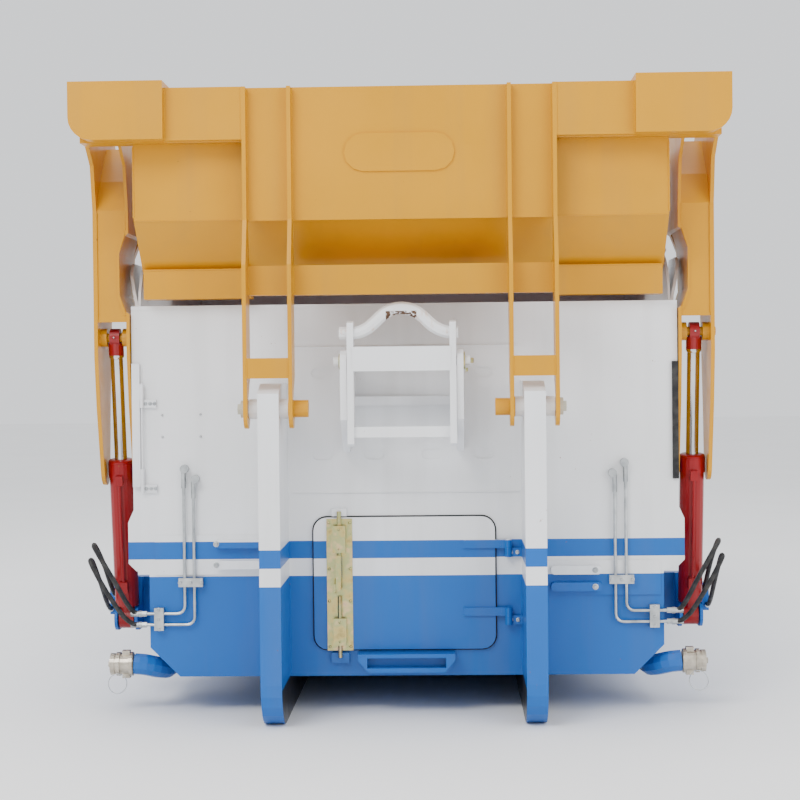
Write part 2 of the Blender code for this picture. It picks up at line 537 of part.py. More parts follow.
def hatch():
    lid = prism(rounded(HATCH_X, HATCH_Z, 0.052), "Y", HATCH_Y, WALL_Y - 0.0008)
    straps = []
    for z in (0.658, 0.395):
        straps.append(box((0.226, 0.382), (HATCH_Y - 0.009, HATCH_Y + 0.004), (z - 0.016, z + 0.016)))
        straps.append(bar("Z", HATCH_HINGE, 0.014, z - 0.016, z + 0.016, sides=12))
        straps.append(box((0.370, 0.392), (HATCH_Y - 0.012, HATCH_Y - 0.001), (z - 0.016, z + 0.016)))
    bores = [bar("Z", HATCH_HINGE, 0.0066, 0.30, 0.75, sides=10)]
    node("access_hatch", white(), [lid] + straps, bores, (*HATCH_HINGE, 0.5))
    for z, word in ((0.658, "upper"), (0.395, "lower")):
        pin = bar("Z", HATCH_HINGE, 0.006, z - 0.050, z + 0.018, sides=10)
        knuckle = bar("Z", HATCH_HINGE, 0.014, z - 0.050, z - 0.0165, sides=12)
        leaf = box((0.392, RAIL_IN - GAP), (HATCH_HINGE[1] + 0.004, WALL_Y - GAP), (z - 0.050, z - 0.0165))
        node("hatch_hinge_" + word, blue(), [leaf, knuckle, pin])
    base = box((-0.306, -0.206), (HATCH_Y - 0.0048, HATCH_Y - GAP), (0.247, 0.760))
    rims = [box((x, x + 0.006), (HATCH_Y - 0.028, HATCH_Y - 0.002), (z, z + 0.105))
            for x in (-0.281, -0.237) for z in (0.270, 0.630)]
    caps = [box((-0.281, -0.231), (HATCH_Y - 0.033, HATCH_Y - 0.027), (z, z + 0.105)) for z in (0.270, 0.630)]
    ear = [prism([(HATCH_Y - 0.003, 0.470), (HATCH_Y - 0.045, 0.480), (HATCH_Y - 0.045, 0.510), (HATCH_Y - 0.003, 0.530)],
                 "X", -0.2750, -0.2700)]
    pivot = bar("X", (HATCH_Y - 0.034, 0.495), 0.005, -0.274, -0.245, sides=10)
    node("latch_base", zinc(), [base] + rims + caps + ear + [pivot])
    lever_side = [(HATCH_Y - 0.042, 0.487), (HATCH_Y - 0.026, 0.487), (HATCH_Y - 0.026, 0.505),
                  (HATCH_Y - 0.030, 0.615), (HATCH_Y - 0.044, 0.620), (HATCH_Y - 0.044, 0.500)]
    lever = prism(lever_side, "X", -0.2690, -0.2490)
    hole = bar("X", (HATCH_Y - 0.034, 0.495), 0.0056, -0.3, -0.2, sides=10)
    node("latch_lever", zinc(), [lever], [hole], (-0.259, HATCH_Y - 0.034, 0.495))
    for low, high, word in ((0.5300, 0.7900, "upper"), (0.2210, 0.4600, "lower")):
        rod = bar("Z", (-0.256, HATCH_Y - 0.0155), 0.0085, low, high, sides=10)
        node("latch_bolt_" + word, zinc(), [rod], (), (-0.256, HATCH_Y - 0.0155, low))
    top_catch = box((-0.285, -0.227), (HATCH_Y - 0.004, WALL_Y - GAP), (0.770, 0.800))
    node("catch_upper", white(), [top_catch])
    low_catch = box((-0.290, -0.222), (HATCH_Y - 0.004, WALL_Y - GAP), (0.198, 0.238))
    node("catch_lower", blue(), [low_catch])


def side_flap():
    x, y = -1.022, WALL_Y - 0.017
    plate = box((-1.061, x - 0.0085), (WALL_Y - 0.016, WALL_Y - 0.0035), (0.890, 1.372))
    barrels = [bar("Z", (x, y), 0.0075, z - 0.030, z + 0.030, sides=10) for z in (1.262, 0.930)]
    links = [box((x - 0.010, x - 0.001), (WALL_Y - 0.0165, WALL_Y - 0.009), (z - 0.030, z + 0.030)) for z in (1.262, 0.930)]
    bores = [bar("Z", (x, y), 0.0036, 0.80, 1.50, sides=8)]
    node("side_flap", white(), [plate] + links + barrels, bores, (x, y, 1.1))
    pin = bar("Z", (x, y), 0.003, 0.868, 1.296, sides=8)
    fixed = []
    for z in (1.262, 0.930):
        fixed.append(bar("Z", (x, y), 0.0075, z - 0.062, z - 0.0306, sides=10))
        fixed.append(box((x + 0.003, x + 0.055), (WALL_Y - 0.012, WALL_Y - GAP), (z - 0.062, z - 0.0306)))
    node("flap_hinge", white(), [pin] + fixed)


def step_and_bars():
    ends = [(-0.185, 0.240), (0.190, 0.240), (0.190, 0.215), (0.150, 0.168), (-0.145, 0.168), (-0.185, 0.215)]
    channel = prism(ends, "Y", WALL_Y - 0.080, WALL_Y - GAP)
    hollow = box((-0.150, 0.155), (WALL_Y - 0.090, WALL_Y - 0.030), (0.186, 0.2250))
    node("hatch_step", blue(), [channel], [hollow])
    for side, word in SIDES:
        bars = []
        for z, near, far in ((0.667, 0.565, 0.745), (0.585, 0.565, 0.735)) if side < 0 else \
                ((0.555, 0.565, 0.760), (0.490, 0.565, 0.760)):
            bars.append(prism([(side * a, b) for a, b in rounded((near, far), (z - 0.017, z + 0.017), 0.012, 2)],
                              "Y", WALL_Y - 0.035, WALL_Y - 0.006))
        low, high = ((0.545, 0.700), (0.455, 0.590))[side > 0]
        back = box(span(side, 0.545, 0.990 if side > 0 else 0.980), (WALL_Y - 0.0070, WALL_Y - GAP), (low, high))
        node("bar_holder_" + word, blue(), [back] + bars)


# ---- hydraulic pipework and drains -------------------------------------------------------

def pipework():
    """Two steel pipes on each wing, held by clamps, that end at the hose bulkhead."""
    for side, word in SIDES:
        y = WALL_Y - 0.018
        upper = ((0.858, 0.960), (0.816, 0.920)) if side < 0 else ((0.852, 0.970), (0.806, 0.930))
        heads = []
        lines = []
        for (x, top), turn_z, rise in zip(upper, (0.395, 0.352), (0.004, 0.008)):
            inner = x + rise
            bend = arc((inner + 0.030, turn_z + 0.030), 0.030, 180, 270, 4)
            route = [(inner, y, top - 0.03), (inner, y, turn_z + 0.10)] + [(a, y, c) for a, c in bend] + \
                    [(0.930, y, turn_z), (1.040, y, turn_z)]
            lines.append(pipe([(side * a, b, c) for a, b, c in route], 0.0062, sides=8, resolution=1))
            heads.append(bar("X", (y, turn_z), 0.0115, *span(side, 1.012, 1.032), sides=6))
            heads.append(bar("Y", (side * x, top), 0.0165, y - 0.016, WALL_Y - GAP, sides=12))
            heads.append(bar("Z", (side * inner, y), 0.0095, top - 0.075, top, sides=6))
        top_clamp = box(span(side, 0.790, 0.885), (y - 0.013, WALL_Y - 0.0075), (0.500, 0.534))
        end_clamp = box(span(side, 0.945, 0.982), (y - 0.013, WALL_Y - GAP), (0.330, 0.418))
        node("pipework_" + word, steel(), [top_clamp] + lines + heads + [end_clamp])


def hoses():
    """Pressure hoses, held at both ends: from the bulkhead out, up and back to the cylinder bracket."""
    for side, word in SIDES:
        y = WALL_Y - 0.018
        upper = [(1.0415, y, 0.395), (1.062, y - 0.004, 0.402), (1.085, y - 0.030, 0.440), (1.115, y - 0.062, 0.510),
                 (1.150, y - 0.084, 0.580), (1.182, y - 0.092, 0.640), (1.200, y - 0.080, 0.668), (1.203, y - 0.045, 0.668),
                 (1.198, y + 0.020, 0.625), (1.196, 0.460, 0.560), (1.196, 0.560, 0.485), (1.196, 0.640, 0.438),
                 (1.196, 0.6990, 0.430)]
        lower = [(1.0415, y, 0.352), (1.065, y - 0.006, 0.356), (1.098, y - 0.034, 0.390), (1.138, y - 0.066, 0.460),
                 (1.175, y - 0.084, 0.530), (1.205, y - 0.086, 0.590), (1.217, y - 0.070, 0.612), (1.217, y - 0.030, 0.606),
                 (1.217, y + 0.040, 0.560), (1.217, 0.480, 0.490), (1.217, 0.570, 0.420), (1.217, 0.640, 0.380),
                 (1.217, 0.6990, 0.370)]
        for route, place in ((upper, "upper_"), (lower, "lower_")):
            hose = pipe([(side * a, b, c) for a, b, c in route], 0.0095, sides=8, resolution=2)
            node("hose_" + place + word, black(), [hose])


def drains():
    for side, word in SIDES:
        route = [(0.962, 0.7515, 0.152), (0.962, 0.640, 0.152), (0.964, 0.550, 0.153), (0.974, 0.480, 0.160),
                 (0.998, 0.428, 0.174), (1.032, 0.403, 0.186), (1.072, 0.400, 0.190)]
        bend = pipe([(side * a, b, c) for a, b, c in route], 0.042, sides=12, resolution=2)
        node("drain_elbow_" + word, blue(), [bend])
        body = bar("X", (0.400, 0.190), 0.040, *span(side, 1.0760, 1.150), sides=20)
        rims = [bar("X", (0.400, 0.190), 0.047, *span(side, a, a + 0.014), sides=20) for a in (1.078, 1.128)]
        ears = box(span(side, 1.090, 1.120), (0.385, 0.415), (0.136, 0.244))
        cap = bar("X", (0.400, 0.190), 0.043, *span(side, 1.149, 1.166), sides=20)
        knob = bar("X", (0.400, 0.190), 0.012, *span(side, 1.160, 1.176), sides=10)
        node("drain_coupling_" + word, nickel(), [body, ears] + rims + [cap, knob])


def main():
    for old in list(bpy.data.objects):
        bpy.data.objects.remove(old)
    for build in (skid_rails, post_pins, front_wall, chamber, throat_hood, container, rear_door, press_ram,
                  hopper_body, lip_beam, inner_arms, outer_arms, lift_cylinders, hook_frame, hatch, side_flap,
                  step_and_bars, pipework, hoses, drains):
        build()
    for part in bpy.data.objects:
        part.location.y -= LENGTH / 2


main()
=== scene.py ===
"""The looks of a hook-lift waste compactor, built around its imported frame, in metres, +Z up."""
import math

import bpy
import bmesh
import numpy as np
from mathutils import Matrix, Vector


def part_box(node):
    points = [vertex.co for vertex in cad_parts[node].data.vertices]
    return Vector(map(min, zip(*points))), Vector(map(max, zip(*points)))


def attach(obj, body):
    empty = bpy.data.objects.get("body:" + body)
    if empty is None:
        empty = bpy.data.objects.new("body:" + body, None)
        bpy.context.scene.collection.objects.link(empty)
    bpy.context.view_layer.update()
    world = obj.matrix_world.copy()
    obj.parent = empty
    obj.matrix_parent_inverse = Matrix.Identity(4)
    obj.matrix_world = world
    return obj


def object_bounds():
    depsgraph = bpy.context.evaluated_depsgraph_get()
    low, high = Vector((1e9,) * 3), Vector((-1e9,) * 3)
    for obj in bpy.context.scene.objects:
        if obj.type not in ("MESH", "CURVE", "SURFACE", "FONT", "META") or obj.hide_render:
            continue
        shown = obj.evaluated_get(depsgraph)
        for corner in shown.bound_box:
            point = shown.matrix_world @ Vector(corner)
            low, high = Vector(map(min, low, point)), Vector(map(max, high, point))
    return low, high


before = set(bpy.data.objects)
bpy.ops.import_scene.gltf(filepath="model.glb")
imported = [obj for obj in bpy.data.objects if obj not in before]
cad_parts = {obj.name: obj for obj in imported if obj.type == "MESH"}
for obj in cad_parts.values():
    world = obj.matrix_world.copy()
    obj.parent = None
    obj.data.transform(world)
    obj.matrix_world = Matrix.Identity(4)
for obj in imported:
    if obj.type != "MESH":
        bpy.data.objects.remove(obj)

CAD_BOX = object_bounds()
HALF = float(CAD_BOX[1][1])                # half the length, from the uprights to the origin
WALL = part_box("front_wall")[0][1] + 0.002  # the front wall's outer face

WHITE = (0.83, 0.84, 0.86)
BLUE = (0.004, 0.115, 0.44)
YELLOW = (0.60, 0.275, 0.0)
RED = (0.27, 0.002, 0.005)
RUST = (0.22, 0.075, 0.02)
GRIME = (0.16, 0.14, 0.11)
BAND_HEIGHTS = (0.5295, 0.600, 0.669)     # edges of the blue and white bands above the ground
RAMP_SPAN = 2.5                           # the band ramp's whole height
ROD_PAINT_FROM = 1.405                    # the lift rods are red above this height
SIDE_COSINE = 0.55                        # cosine that tells a side face from a front face
COAT = 0.06                               # clear coat on all sprayed paint
SIDES = (-1, 1)

FRONT = (0, -1, 0)
SHEET_FRONT, BEND_HEIGHT = 0.1505, 1.91   # the hopper sheet's front, and where the sheet bends back
ARM_PLATES = (0.402, 0.417, 0.570)        # edges of the inner arms' plates, from the middle
UPRIGHT_EDGES = (0.4534, 0.5325)          # the uprights' side faces, from the middle
HOOK_PIN = (0.155, 1.37)                  # the hook's pin, behind the uprights and above the ground
LATCH_X = -0.256                          # the latch strap's middle
HATCH_LID = ((-0.357, 0.349), (0.250, 0.765))
CYLINDER_X = 1.135
CYLINDER_BASE, ROD_EYE = (0.60, 0.345), (0.42, 1.476)
BARREL_LENGTH = 0.6452                    # from the base pin to the gland
HOSE_ENDS = ((1.196, 0.430), (1.217, 0.370))
PIPE_ENDS = (0.395, 0.352)
DOOR_OUTSIDE = 5.2352

CAMERA_PLACE = (0.179, -6.403, 1.324)     # the middle one is counted from the uprights' front
CAMERA_YAW, CAMERA_PITCH, CAMERA_ROLL = 0.0286, 0.0154, -0.0109
CAMERA_LENS = 78.2


# ---- materials ---------------------------------------------------------------------------

class Finish:
    """A node material with helpers that add and wire nodes."""

    def __init__(self, name, roughness=0.4, metallic=0.0, coat=0.0):
        self.material = bpy.data.materials.new(name)
        self.material.use_nodes = True
        self.tree = self.material.node_tree
        self.shader = self.tree.nodes["Principled BSDF"]
        self.shader.inputs["Metallic"].default_value = metallic
        self.shader.inputs["Roughness"].default_value = roughness
        self.shader.inputs["Coat Weight"].default_value = coat
        self.shader.inputs["Coat Roughness"].default_value = 0.12
        if metallic < 0.5:
            self.shader.inputs["Specular IOR Level"].default_value = 0.30
        self.place = self.add("ShaderNodeTexCoord").outputs["Object"]

    def add(self, kind, **settings):
        made = self.tree.nodes.new(kind)
        for key, value in settings.items():
            setattr(made, key, value)
        return made

    def join(self, source, target):
        self.tree.links.new(source, target)

    def noise(self, scale, detail=4.0, stretch=(1, 1, 1)):
        mapping = self.add("ShaderNodeMapping")
        mapping.inputs["Scale"].default_value = stretch
        self.join(self.place, mapping.inputs["Vector"])
        made = self.add("ShaderNodeTexNoise")
        made.inputs["Scale"].default_value = scale
        made.inputs["Detail"].default_value = detail
        self.join(mapping.outputs["Vector"], made.inputs["Vector"])
        return made.outputs["Fac"]

    def ramp(self, source, stops, interpolation="LINEAR"):
        made = self.add("ShaderNodeValToRGB")
        made.color_ramp.interpolation = interpolation
        entries = made.color_ramp.elements
        while len(entries) < len(stops):
            entries.new(0.5)
        for entry, (position, colour) in zip(entries, stops):
            entry.position = position
            entry.color = (*colour, 1) if len(colour) == 3 else colour
        self.join(source, made.inputs["Fac"])
        return made.outputs["Color"]

    def mix(self, factor, first, second, mode="MIX"):
        made = self.add("ShaderNodeMix", data_type="RGBA", blend_type=mode)
        sockets = (made.inputs["Factor"], made.inputs[6], made.inputs[7])
        for socket, value in zip(sockets, (factor, first, second)):
            if isinstance(value, (int, float)):
                socket.default_value = value
            elif isinstance(value, tuple):
                socket.default_value = (*value, 1)
            else:
                self.join(value, socket)
        return made.outputs[2]

    def maths(self, operation, first, second=0.0):
        made = self.add("ShaderNodeMath", operation=operation)
        for socket, value in ((made.inputs[0], first), (made.inputs[1], second)):
            if isinstance(value, (int, float)):
                socket.default_value = value
            else:
                self.join(value, socket)
        return made.outputs[0]

    def axis(self, name):
        made = self.add("ShaderNodeSeparateXYZ")
        self.join(self.place, made.inputs[0])
        return made.outputs[name]

    def normal(self, name):
        made = self.add("ShaderNodeSeparateXYZ")
        self.join(self.add("ShaderNodeTexCoord").outputs["Normal"], made.inputs[0])
        return made.outputs[name]

    def colour(self, source):
        self.join(source, self.shader.inputs["Base Color"])

    def rough(self, source, low, high):
        spread = self.add("ShaderNodeMapRange")
        spread.inputs["To Min"].default_value = low
        spread.inputs["To Max"].default_value = high
        self.join(source, spread.inputs["Value"])
        self.join(spread.outputs["Result"], self.shader.inputs["Roughness"])

    def bump(self, source, strength, distance):
        made = self.add("ShaderNodeBump")
        made.inputs["Strength"].default_value = strength
        made.inputs["Distance"].default_value = distance
        self.join(source, made.inputs["Height"])
        self.join(made.outputs["Normal"], self.shader.inputs["Normal"])


def shade(colour, share):
    return tuple(min(1.0, c * share) for c in colour)


def painted(finish, base, dirt, chips):
    """Sprayed paint on plate: cloudy tone, faint streaks of dust, small rusty chips, orange peel."""
    cloud = finish.noise(1.7, 5.0)
    if isinstance(base, tuple):
        toned = finish.ramp(cloud, [(0.30, shade(base, 0.90)), (0.55, base), (0.78, shade(base, 1.06))])
    else:
        patches = finish.ramp(cloud, [(0.32, (0, 0, 0)), (0.72, (1, 1, 1))])
        toned = finish.mix(patches, base, (0.90, 0.90, 0.88), "MULTIPLY")
    streaks = finish.noise(9.0, 6.0, (1, 1, 0.08))
    film = finish.ramp(streaks, [(0.50, (0, 0, 0)), (0.85, (dirt, dirt, dirt))])
    dusty = finish.mix(film, toned, GRIME)
    chip_mask = finish.ramp(finish.noise(46.0, 3.0), [(chips, (0, 0, 0)), (chips + 0.012, (1, 1, 1))])
    near = finish.ramp(finish.noise(2.3, 2.0), [(0.50, (0, 0, 0)), (0.62, (1, 1, 1))])
    chipped = finish.mix(finish.maths("MULTIPLY", chip_mask, near), dusty, RUST)
    finish.colour(chipped)
    finish.rough(finish.noise(14.0, 5.0), 0.24, 0.46)
    fine = finish.maths("MULTIPLY", finish.noise(420.0, 2.0), 0.25)
    peel = finish.maths("ADD", fine, finish.noise(5.0, 2.0))
    finish.bump(peel, 0.16, 0.0025)
    return finish.material


def yellow_paint():
    return painted(Finish("yellow_paint", coat=COAT), YELLOW, 0.16, 0.735)


def white_paint():
    return painted(Finish("white_paint", coat=COAT), WHITE, 0.16, 0.74)


def band_colour(finish):
    height = finish.maths("DIVIDE", finish.axis("Z"), RAMP_SPAN)
    low, middle, high = (z / RAMP_SPAN for z in BAND_HEIGHTS)
    return finish.ramp(height, [(0.0, BLUE), (low, WHITE), (middle, BLUE), (high, WHITE)], "CONSTANT")


def banded_paint():
    finish = Finish("banded_paint", coat=COAT)
    return painted(finish, band_colour(finish), 0.16, 0.74)


def rail_paint():
    """Banded like the wall, with painted shade: black low on the side faces, behind a slanted edge, where the rail's
    sides lie in shadow.
    """
    finish = Finish("rail_paint", coat=COAT)
    low = finish.maths("LESS_THAN", finish.axis("Z"), 0.30)
    under = finish.maths("LESS_THAN", finish.maths("ADD", finish.axis("Z"),
                         finish.maths("MULTIPLY", finish.axis("Y"), 0.40)), 0.145 - 0.40 * (HALF - 0.02))
    side = finish.maths("GREATER_THAN", finish.maths("ABSOLUTE", finish.normal("X")), SIDE_COSINE)
    beneath = finish.maths("LESS_THAN", finish.axis("Z"), 0.150)
    # painted shade: near black on the rail's low side faces, standing in for the shadow there
    painted_shade_mask = finish.maths("MULTIPLY", side, finish.maths("MAXIMUM", finish.maths("MULTIPLY", under, low), beneath))
    base = finish.mix(painted_shade_mask, band_colour(finish), (0.015, 0.015, 0.016))
    return painted(finish, base, 0.14, 0.72)


def blue_paint():
    return painted(Finish("blue_paint", coat=COAT), BLUE, 0.16, 0.735)


def red_paint():
    return painted(Finish("red_paint", coat=COAT), RED, 0.22, 0.72)


def hook_paint():
    """White, worn through to rust on the crown of the bar where the truck's hook bears."""
    finish = Finish("hook_paint")
    near = finish.maths("LESS_THAN", finish.maths("ABSOLUTE", finish.axis("X")), 0.058)
    top = finish.maths("GREATER_THAN", finish.axis("Z"), 1.515)
    under = finish.maths("LESS_THAN", finish.axis("Z"), 1.558)
    speck = finish.ramp(finish.noise(70.0, 6.0), [(0.43, (0, 0, 0)), (0.50, (1, 1, 1))])
    crown = finish.maths("MULTIPLY", finish.maths("MULTIPLY", near, top), finish.maths("MULTIPLY", under, speck))
    faint = finish.ramp(finish.noise(24.0, 5.0, (1, 1, 0.5)), [(0.60, (0, 0, 0)), (0.72, (1, 1, 1))])
    bar = finish.maths("GREATER_THAN", finish.axis("Z"), 1.470)
    stain = finish.maths("MULTIPLY", finish.maths("MULTIPLY", faint, bar), 0.55)
    stained = finish.mix(stain, WHITE, (0.62, 0.30, 0.10))
    return painted(finish, finish.mix(crown, stained, (0.10, 0.05, 0.025)), 0.16, 0.73)


def pin_paint():
    """Yellow stub, white hub, and a bright bolt end outside."""
    finish = Finish("pin_paint")
    out = finish.maths("ABSOLUTE", finish.axis("X"))
    base = finish.ramp(out, [(0.0, YELLOW), (0.4185, WHITE), (0.5685, (0.55, 0.52, 0.42))], "CONSTANT")
    return painted(finish, base, 0.2, 0.73)


def metal(name, dark, light, low, high, scale=30.0, stretch=(1, 1, 1)):
    """Bare or plated metal with a cloudy tone and fine scratches."""
    finish = Finish(name, metallic=1.0)
    finish.colour(finish.ramp(finish.noise(scale, 6.0), [(0.30, dark), (0.72, light)]))
    finish.rough(finish.noise(scale * 2, 6.0), low, high)
    finish.bump(finish.noise(260.0, 3.0, stretch), 0.12, 0.0006)
    return finish.material


def galvanised():
    return metal("galvanised", (0.36, 0.38, 0.39), (0.60, 0.62, 0.62), 0.30, 0.52, 26.0)


def chrome():
    return metal("chrome_rod", (0.60, 0.61, 0.63), (0.80, 0.81, 0.82), 0.08, 0.18, 8.0, (8, 8, 0.2))


def rod_steel():
    """Chrome rod whose neck and eye are painted red; its bare chrome is a darker copy of the chrome, painted shade.
    """
    finish = Finish("chrome_rod", metallic=1.0)
    # painted shade: the rod's chrome is darker than the fittings' chrome to stand in for the shade on the rod
    chrome_with_painted_shade = finish.ramp(finish.noise(8.0, 6.0), [(0.30, (0.42, 0.43, 0.45)), (0.72, (0.64, 0.65, 0.66))])
    painted_end = finish.maths("GREATER_THAN", finish.axis("Z"), ROD_PAINT_FROM)
    finish.colour(finish.mix(painted_end, chrome_with_painted_shade, RED))
    finish.join(finish.maths("SUBTRACT", 1.0, painted_end), finish.shader.inputs["Metallic"])
    finish.rough(painted_end, 0.14, 0.36)
    return finish.material


def nickel():
    return metal("cast_nickel", (0.40, 0.36, 0.29), (0.66, 0.60, 0.50), 0.28, 0.50, 40.0)


def zinc():
    """Yellow chromate over zinc: gold that drifts to green and rose."""
    finish = Finish("zinc_chromate", metallic=0.9)
    tone = finish.ramp(finish.noise(22.0, 5.0), [(0.28, (0.36, 0.27, 0.10)), (0.42, (0.58, 0.46, 0.18)),
                                                 (0.54, (0.42, 0.44, 0.20)), (0.66, (0.66, 0.50, 0.26)),
                                                 (0.78, (0.55, 0.36, 0.30))])
    finish.colour(tone)
    finish.rough(finish.noise(50.0), 0.22, 0.42)
    finish.bump(finish.noise(300.0), 0.1, 0.0004)
    return finish.material


def rubber():
    """Hose cover: black with a fine wrapped texture and a little dust."""
    finish = Finish("black_rubber", metallic=0.0)
    dust = [(0.40, (0.012, 0.012, 0.013)), (0.80, (0.055, 0.052, 0.048))]
    finish.colour(finish.ramp(finish.noise(35.0, 5.0), dust))
    finish.rough(finish.noise(20.0), 0.45, 0.70)
    finish.bump(finish.noise(500.0, 2.0), 0.2, 0.0006)
    return finish.material


# ---- mesh helpers ------------------------------------------------------------------------

def finished(work, name, body, look, angle=35):
    """A mesh object from a bmesh, riding on a body."""
    bmesh.ops.recalc_face_normals(work, faces=work.faces)
    mesh = bpy.data.meshes.new(name)
    work.to_mesh(mesh)
    work.free()
    mesh.shade_smooth()
    mesh.set_sharp_from_angle(angle=math.radians(angle))
    mesh.materials.append(look)
    made = bpy.data.objects.new(name, mesh)
    bpy.context.scene.collection.objects.link(made)
    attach(made, body)
    return made


def basis(direction):
    """Rotation that turns +Z to the direction."""
    return Vector(direction).normalized().to_track_quat("Z", "Y").to_matrix().to_4x4()


def turned(work, place, direction, profile, sides):
    """A turned piece: the profile's (radius, height) pairs spun round the direction."""
    turn = Matrix.Translation(place) @ basis(direction)
    rings = []
    for radius, height in profile:
        rings.append([work.verts.new(turn @ Vector((radius * math.cos(a), radius * math.sin(a), height)))
                      for a in np.linspace(0, 2 * math.pi, sides, endpoint=False)])
    for low, high in zip(rings, rings[1:]):
        for i in range(sides):
            j = (i + 1) % sides
            work.faces.new((low[i], low[j], high[j], high[i]))
    work.faces.new(rings[0])
    work.faces.new(rings[-1])


def bolt(work, place, direction, across=0.018, washer=True):
    """A hex head with a chamfered top, on a washer."""
    radius = across * 0.577
    base = 0.0
    if washer:
        base = across * 0.10
        disc = [(radius * 1.45, 0.0), (radius * 1.45, base * 0.7), (radius * 1.36, base)]
        turned(work, place, direction, disc, 20)
    head = [(radius, base), (radius, base + across * 0.50), (radius * 0.84, base + across * 0.62),
            (radius * 0.80, base + across * 0.60)]
    turned(work, place, direction, head, 6)


def rivet(work, place, direction, radius):
    """A domed head."""
    turned(work, place, direction, [(radius, 0.0), (radius * 0.97, radius * 0.25), (radius * 0.75, radius * 0.55),
                                    (radius * 0.40, radius * 0.72), (radius * 0.08, radius * 0.78)], 14)


def sweep(work, points, radii, sides=8):
    """A closed tube through points with a radius at each."""
    path = [Vector(p) for p in points]
    rings = []
    up = Vector((0, 0, 1))
    for i, place in enumerate(path):
        along = (path[min(i + 1, len(path) - 1)] - path[max(i - 1, 0)]).normalized()
        across = along.cross(up)
        if across.length < 0.05:
            across = along.cross(Vector((0, 1, 0)))
        across.normalize()
        other = along.cross(across).normalized()
        rings.append([work.verts.new(place + radii[i] * (across * math.cos(a) + other * math.sin(a)))
                      for a in np.linspace(0, 2 * math.pi, sides, endpoint=False)])
    for low, high in zip(rings, rings[1:]):
        for i in range(sides):
            j = (i + 1) % sides
            work.faces.new((low[i], low[j], high[j], high[i]))
    work.faces.new(rings[0])
    work.faces.new(rings[-1])


def bead(work, start, end, radius=0.0045):
    """A weld bead between two points, with the ripples of its passes."""
    start, end = Vector(start), Vector(end)
    count = max(4, int((end - start).length / 0.0075))
    points = [start.lerp(end, i / count) for i in range(count + 1)]
    radii = [radius * (0.55 if i in (0, count) else 0.86 + 0.16 * math.sin(i * 2.1) + 0.05 * math.sin(i * 0.7))
             for i in range(count + 1)]
    sweep(work, points, radii, 6)


def back(y):
    """Row frame Y of a place that far behind the uprights' front faces."""
    return y - HALF


# ---- carried-over nodes ------------------------------------------------------------------

def dress(look, *starts):
    """Gives every node whose name starts so a material."""
    for name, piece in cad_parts.items():
        if name.startswith(starts):
            piece.data.materials.clear()
            piece.data.materials.append(look)


def soften(width, *starts):
    """Rounds the edges of every node whose name starts so."""
    for name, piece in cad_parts.items():
        if name.startswith(starts):
            edge = piece.modifiers.new("edge", "BEVEL")
            edge.width = width
            edge.segments = 2
            edge.limit_method = "ANGLE"
            edge.angle_limit = math.radians(40)
            edge.harden_normals = True
            edge.use_clamp_overlap = True


LOOKS = {"yellow": yellow_paint(), "white": white_paint(), "banded": banded_paint(), "rail": rail_paint(),
         "blue": blue_paint(), "red": red_paint(), "hook": hook_paint(), "pin": pin_paint(),
         "galvanised": galvanised(), "chrome": chrome(), "rod": rod_steel(), "nickel": nickel(), "zinc": zinc(),
         "rubber": rubber()}
dress(LOOKS["yellow"], "hopper_", "lower_beam", "lip_beam", "centre_panel", "outer_arm")
dress(LOOKS["banded"], "front_wall", "press_chamber", "container", "rear_door", "access_hatch", "bar_holder",
      "hatch_hinge", "hatch_step", "catch_lower", "throat_hood", "hook_backing_plate")
dress(LOOKS["white"], "side_flap", "flap_hinge", "catch_upper", "hook_bracket")
dress(LOOKS["rail"], "skid_rail")
dress(LOOKS["blue"], "cylinder_bracket", "drain_elbow", "hopper_pivot")
dress(LOOKS["red"], "cylinder_barrel", "press_ram")
dress(LOOKS["hook"], "hook_frame")
dress(LOOKS["pin"], "post_pin")
dress(LOOKS["galvanised"], "pipework", "rear_roller", "press_cylinder")
dress(LOOKS["rod"], "cylinder_rod")
dress(LOOKS["nickel"], "drain_coupling")
dress(LOOKS["zinc"], "latch_")
dress(LOOKS["rubber"], "hose_", "edge_buffer")
soften(0.0025, "skid_rail", "lip_beam", "lower_beam", "hopper_arm", "outer_arm", "hook_", "bar_holder", "hatch_step",
       "cylinder_bracket", "container", "rear_door")
soften(0.0010, "access_hatch", "centre_panel", "side_flap", "hatch_hinge", "latch_base", "latch_lever",
       "drain_coupling", "pipework", "throat_hood", "post_pin")


# ---- welds -------------------------------------------------------------------------------

def hopper_welds():
    work = bmesh.new()

    def upright(x, y, low, high, radius):
        bead(work, (x, back(y), low), (x, back(y), high), radius)

    def level(near, far, y, z, radius):
        bead(work, (near, back(y), z), (far, back(y), z), radius)

    for side in SIDES:
        for x in ARM_PLATES:
            upright(side * x, 0.0895, 1.905, 2.39, 0.004)
            upright(side * x, 0.0795, 1.625, 1.728, 0.004)
        for x in ARM_PLATES[1:]:
            upright(side * x, 0.0, 1.313, 1.382, 0.0035)
        upright(side * 0.5855, 0.055, 2.203, 2.392, 0.004)
        upright(side * 0.8735, 0.054, 2.205, 2.392, 0.005)
        level(side * 0.590, side * 0.875, 0.100, 2.200, 0.004)
        level(side * 0.590, side * 1.005, SHEET_FRONT, BEND_HEIGHT, 0.003)
        upright(side * 1.009, 0.150, 1.92, 2.19, 0.004)
        level(side * 0.590, side * 1.000, 0.3, 1.7325, 0.004)
        upright(side * 1.078, 0.342, 1.890, 1.965, 0.004)
        upright(side * 1.190, 0.342, 1.545, 1.965, 0.004)
    finished(work, "hopper_weld_beads", "hopper", LOOKS["yellow"])


